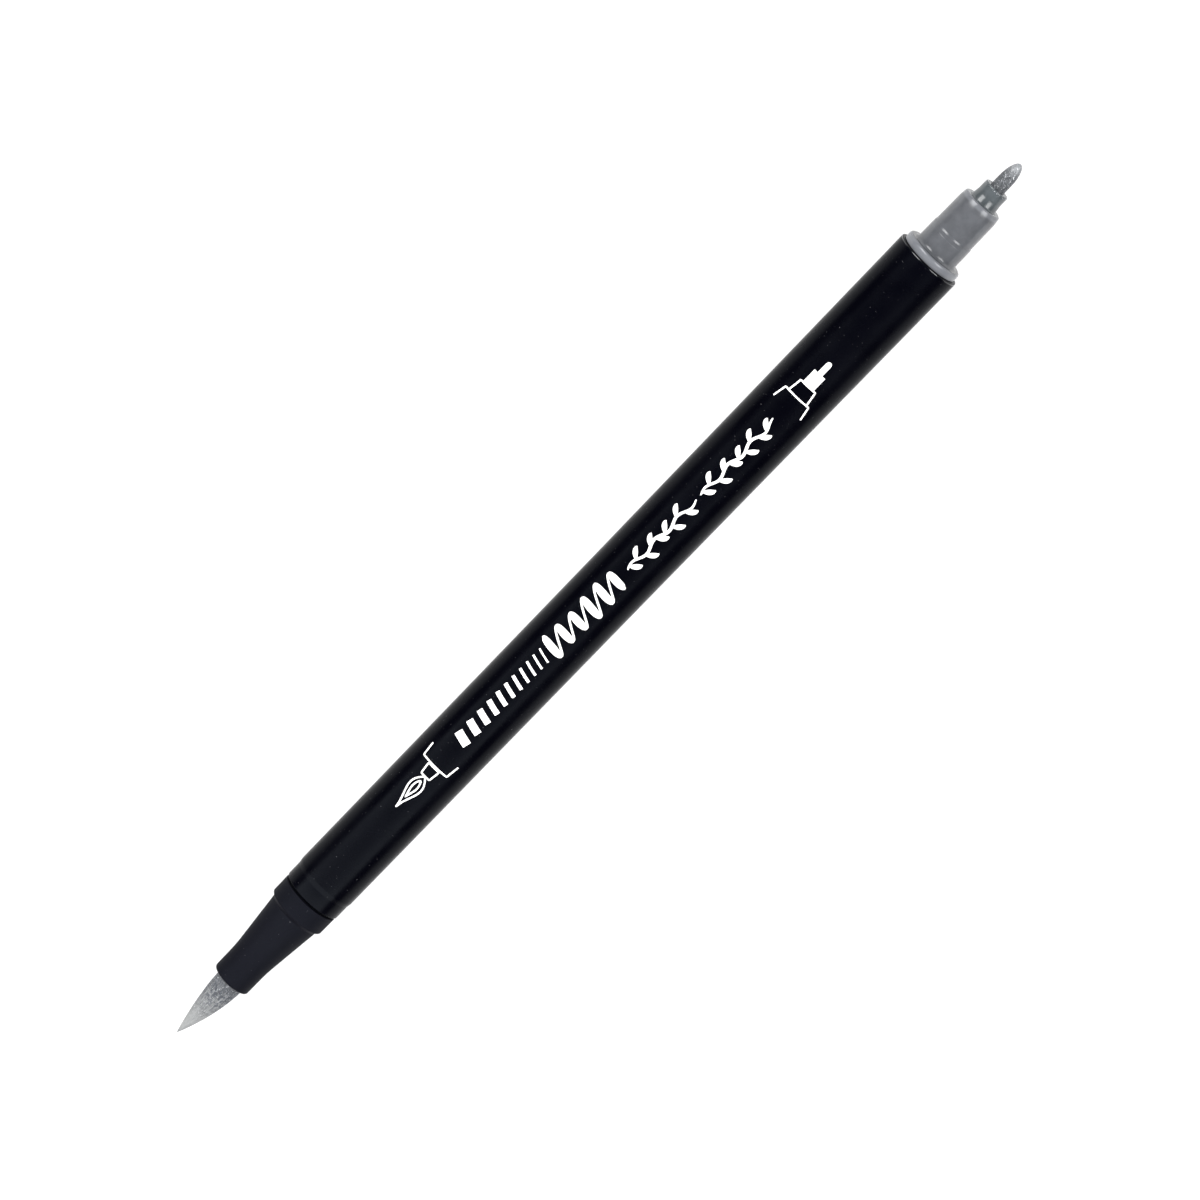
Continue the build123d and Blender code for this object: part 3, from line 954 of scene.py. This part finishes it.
# %% Hair material
def hair_finish(name, dark, light, tip):
    """Grey hair wet with ink: light hairs, dark blotches in the belly, and a paler tip."""
    material, tree, shader = new_material(name, light, 0.42, Specular_IOR_Level=0.5)
    place = object_place(tree)
    x = along_marker(tree, place)
    stretched = add(tree, "ShaderNodeMapping", {"Vector": place, "Scale": (0.75, 1, 1)}).outputs[0]
    blotch = spread(tree, noise(tree, stretched, 0.40 * mm, 2, 0.5), 0.47, 0.57)
    in_belly = math(
        tree,
        "MULTIPLY",
        spread(tree, x, brush_tip_x + 3.0 * mm, brush_tip_x + 6.0 * mm),
        spread(tree, x, mouth_x, mouth_x - 2.0 * mm),
    )
    hair = add(tree, "ShaderNodeAttribute", attribute_name="shade").outputs["Fac"]
    tone = blend_colors(tree, hair, (*[0.62 * c for c in light], 1), (*[1.38 * c for c in light], 1))
    dirty = blend_colors(tree, math(tree, "MULTIPLY", blotch, in_belly), tone, (*dark, 1))
    to_tip = spread(tree, x, brush_tip_x + 9.5 * mm, brush_tip_x + 2.0 * mm)
    paler = blend_colors(tree, to_tip, dirty, (*tip, 1))
    at_mouth = spread(tree, x, mouth_x - 3.2 * mm, mouth_x - 0.4 * mm, 0, 0.62)
    at_very_tip = spread(tree, x, brush_tip_x + 0.9 * mm, brush_tip_x + 0.2 * mm, 0, 0.4)
    soaked = math(tree, "MAXIMUM", at_mouth, at_very_tip)
    tree.links.new(blend_colors(tree, soaked, paler, (*dark, 1)), shader.inputs["Base Color"])
    bumps(tree, shader, noise(tree, place, 0.08 * mm, 2), 0.01 * mm, 0.5)
    return material


hair_material = hair_finish("wet_hair", (0.034, 0.039, 0.050), (0.148, 0.154, 0.160), (0.198, 0.203, 0.203))
core_material = hair_finish("hair_core", (0.03, 0.033, 0.04), (0.08, 0.083, 0.088), (0.16, 0.165, 0.165))

# %% Core of the bundle, in two pieces
core_share = 0.95
core_steps = 20


def lean_over(piece):
    """Lets the bundle lean to one side, more towards the tip."""
    for vertex in piece.data.vertices:
        vertex.co.y += lean * ((1 - hair_share(vertex.co.x)) ** 2 - lean_back)


def core_piece(name, from_x, to_x):
    """A stretch of the core, closed at both ends."""
    outline = [Vector((from_x, 0))]
    for step in range(core_steps + 1):
        x = from_x + (to_x - from_x) * step / core_steps
        outline.append(Vector((x, core_share * bundle_radius(x))))
    if outline[-1].y > 0:
        outline.append(Vector((to_x, 0)))
    piece = turn(name, outline, core_material, closed=False, turns=64)
    lean_over(piece)
    return piece


belly_core = core_piece("hair_core_belly", hair_rear_x, cut_x)
point_core = core_piece("hair_core_point", cut_x, brush_tip_x)

# %% The tree that lays hairs
hairs, given = new_tree("hairs", {
    "Count": "Int", "From X": "Float", "To X": "Float", "Tip X": "Float", "Mouth X": "Float",
    "Mouth Radius": "Float", "Fullness": "Float", "Stagger": "Float", "Lean": "Float", "Wander": "Float",
    "Hair Radius": "Float", "Axis Height": "Float", "Steps": "Int", "Seed": "Int", "Material": "Material",
})


def chance(low, high, index, salt):
    """A random number for each hair, fixed by the tree's seed."""
    seed = math(hairs, "ADD", given["Seed"], salt)
    made = add(hairs, "FunctionNodeRandomValue", {2: low, 3: high, "ID": index, "Seed": seed}, data_type="FLOAT")
    return made.outputs[1]


index = hairs.nodes.new("GeometryNodeInputIndex").outputs[0]
roots = add(hairs, "GeometryNodePoints", {"Count": given["Count"]}).outputs[0]
keep = {"number": index, "depth": chance(0.0, 1.0, index, 1), "length": chance(0.0, 1.0, index, 2),
        "shade": chance(0.0, 1.0, index, 3)}
for name, value in keep.items():
    roots = add(
        hairs, "GeometryNodeStoreNamedAttribute", {"Geometry": roots, "Name": name, "Value": value}, data_type="FLOAT"
    ).outputs[0]
straight = add(hairs, "GeometryNodeCurvePrimitiveLine", {"End": (1, 0, 0)}).outputs[0]
stepped = add(hairs, "GeometryNodeResampleCurve", {"Curve": straight, "Count": given["Steps"]}).outputs[0]
placed = add(hairs, "GeometryNodeInstanceOnPoints", {"Points": roots, "Instance": stepped}).outputs[0]
real = add(hairs, "GeometryNodeRealizeInstances", {"Geometry": placed}).outputs[0]


def kept(name):
    """A number that was stored on each hair."""
    return add(hairs, "GeometryNodeInputNamedAttribute", {"Name": name}, data_type="FLOAT").outputs[0]


golden_angle = pi * (3 - 5**0.5)
deepest_hair = 0.16
wander_pace = 300
hair_taper = 1.0 * mm
along_hair = hairs.nodes.new("GeometryNodeSplineParameter").outputs["Factor"]
depth = math(hairs, "SUBTRACT", 1.0, math(hairs, "MULTIPLY", math(hairs, "POWER", kept("depth"), 2.0), deepest_hair))
short = math(hairs, "MULTIPLY", math(hairs, "POWER", kept("length"), 2.5), given["Stagger"])
end_x = math(hairs, "ADD", given["Tip X"], short)
to_x = math(hairs, "MAXIMUM", given["To X"], end_x)
hair_run = math(hairs, "SUBTRACT", to_x, given["From X"])
hair_x = math(hairs, "ADD", given["From X"], math(hairs, "MULTIPLY", hair_run, along_hair))
share = spread(hairs, hair_x, given["Tip X"], given["Mouth X"], shape="LINEAR")
rest_share = math(hairs, "SUBTRACT", 1.0, share)
rule = math(hairs, "SUBTRACT", 1.0, math(hairs, "POWER", rest_share, given["Fullness"]))
radius = math(hairs, "MULTIPLY", math(hairs, "MULTIPLY", rule, given["Mouth Radius"]), depth)
angle = math(hairs, "MULTIPLY", kept("number"), golden_angle)
probe = add(hairs, "ShaderNodeCombineXYZ", {
    "X": math(hairs, "MULTIPLY", hair_x, wander_pace), "Y": math(hairs, "MULTIPLY", kept("number"), 1.37), "Z": 0.5,
}).outputs[0]
wander = add(hairs, "ShaderNodeTexNoise", {"Vector": probe, "Scale": 1.0, "Detail": 1.0}).outputs["Fac"]
swing = math(hairs, "MULTIPLY", math(hairs, "MULTIPLY", math(hairs, "SUBTRACT", wander, 0.5), given["Wander"]), rule)
turned = math(hairs, "ADD", angle, swing)
bow = math(hairs, "SUBTRACT", math(hairs, "POWER", rest_share, 2.0), lean_back)
leaning = math(hairs, "MULTIPLY", bow, given["Lean"])
y = math(hairs, "ADD", math(hairs, "MULTIPLY", radius, math(hairs, "COSINE", turned)), leaning)
z = math(hairs, "ADD", math(hairs, "MULTIPLY", radius, math(hairs, "SINE", turned)), given["Axis Height"])
spot = add(hairs, "ShaderNodeCombineXYZ", {"X": hair_x, "Y": y, "Z": z}).outputs[0]
shaped = add(hairs, "GeometryNodeSetPosition", {"Geometry": real, "Position": spot}).outputs[0]
to_end = math(hairs, "SUBTRACT", hair_x, end_x)
fade = spread(hairs, to_end, 0.0, hair_taper, shape="LINEAR")
thickness = math(hairs, "MULTIPLY", given["Hair Radius"], math(hairs, "POWER", fade, 0.5))
section = add(hairs, "GeometryNodeCurvePrimitiveCircle", {"Resolution": 5, "Radius": 1.0}).outputs[0]
tubes = add(
    hairs, "GeometryNodeCurveToMesh",
    {"Curve": shaped, "Profile Curve": section, "Scale": thickness, "Fill Caps": True},
).outputs[0]
smoothed = add(hairs, "GeometryNodeSetShadeSmooth", {"Geometry": tubes}).outputs[0]
deliver(hairs, smoothed, given["Material"])

# %% Lay the hairs of the belly and of the point
def hair_piece(name, from_x, to_x, steps):
    """The hairs between two places. The same seed makes both stretches of one hair meet."""
    piece = new_piece(name, [])
    run_tree(piece, hairs, {
        "Count": 620, "From X": from_x, "To X": to_x, "Tip X": brush_tip_x, "Mouth X": mouth_x,
        "Mouth Radius": hair_radius_at_mouth - hair_thickness / 2, "Fullness": fullness, "Stagger": 4.5 * mm,
        "Lean": lean, "Wander": 0.22, "Hair Radius": hair_thickness / 2, "Axis Height": axis_height,
        "Steps": steps, "Seed": 7, "Material": hair_material,
    })
    print(name, "triangles", triangles(piece))
    return piece


belly_hair = hair_piece("hairs_belly", hair_rear_x, cut_x, 9)
point_hair = hair_piece("hairs_point", cut_x, brush_tip_x, 14)
for piece in (belly_core, belly_hair):
    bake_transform(piece)
for piece in (point_core, point_hair):
    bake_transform(piece)
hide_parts("brush_belly")
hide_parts("brush_point")

# %% Flakes dried in the hair
hair_flake_lift = 0.07 * hair_radius_at_mouth + 0.02 * mm
belly_flakes = flake_piece(
    "hair_flakes_belly", belly_core, Density=14 * per_mm2, From_X=mouth_x - 3 * mm, To_X=mouth_x - 0.15 * mm,
    Flake_Radius=0.045 * mm, Lift=hair_flake_lift, Seed=11,
)
point_flakes = flake_piece(
    "hair_flakes_point", point_core, Density=12 * per_mm2, From_X=brush_tip_x + 3 * mm, To_X=cut_x,
    Flake_Radius=0.040 * mm, Lift=0.7 * hair_flake_lift, Seed=12,
)
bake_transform(belly_flakes)
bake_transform(point_flakes)

# %% [markdown]
# ## Hidden parts
# Six parts sit inside the marker and keep the CAD model's own shape. They still get real finishes, because a
# library part can be opened: brass for the ring, milky plastic for the retainer, fibre for feed and reservoir.

# %% Finishes of the hidden parts
def fibre_bundle(name, dark, light):
    """Pressed fibre: fine lines along the marker, in two greys."""
    material, tree, shader = new_material(name, light, 0.8)
    drawn_out = add(tree, "ShaderNodeMapping", {"Vector": object_place(tree), "Scale": (0.05, 1, 1)}).outputs[0]
    lines = noise(tree, drawn_out, 0.12 * mm, 3, 0.6)
    tree.links.new(
        blend_colors(tree, spread(tree, lines, 0.35, 0.65), (*dark, 1), (*light, 1)), shader.inputs["Base Color"]
    )
    bumps(tree, shader, lines, 0.02 * mm)
    return material


def turned_brass():
    """Brass with fine tool marks."""
    material, tree, shader = new_material("turned_brass", (0.70, 0.55, 0.27), 0.3, Metallic=1.0)
    grooves = noise(tree, add(tree, "ShaderNodeMapping", {
        "Vector": object_place(tree), "Scale": (1, 0.1, 0.1)}).outputs[0], 0.05 * mm)
    tree.links.new(spread(tree, grooves, 0.3, 0.7, 0.24, 0.38), shader.inputs["Roughness"])
    bumps(tree, shader, grooves, 0.005 * mm)
    return material


def milky_plastic(name, tone, roughness):
    """Uncoloured plastic with faint clouds."""
    material, tree, shader = new_material(name, tone, roughness)
    clouds = spread(tree, noise(tree, object_place(tree), 1.2 * mm, 3), 0.3, 0.7)
    duller = tuple(0.86 * channel for channel in tone)
    tree.links.new(blend_colors(tree, clouds, (*duller, 1), (*tone, 1)), shader.inputs["Base Color"])
    return material


soaked_fibre = fibre_bundle("soaked_fibre", (0.24, 0.25, 0.27), (0.46, 0.47, 0.48))
hidden_finishes = {
    "brush_root": hair_material,
    "brush_ring": turned_brass(),
    "brush_retainer": milky_plastic("retainer_plastic", (0.75, 0.75, 0.72), 0.5),
    "ink_feed": soaked_fibre,
    "ink_reservoir": soaked_fibre,
    "reservoir_sleeve": milky_plastic("reservoir_film", (0.82, 0.84, 0.85), 0.15),
}
for node, finish in hidden_finishes.items():
    for material_slot in frame["nodes"][node].material_slots:
        material_slot.material = finish
print("hidden parts painted", len(hidden_finishes))

# %% Sizes for the record, and the end
size = {"cad": [list(corner) for corner in cad_box], "visual": [list(corner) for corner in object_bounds()]}
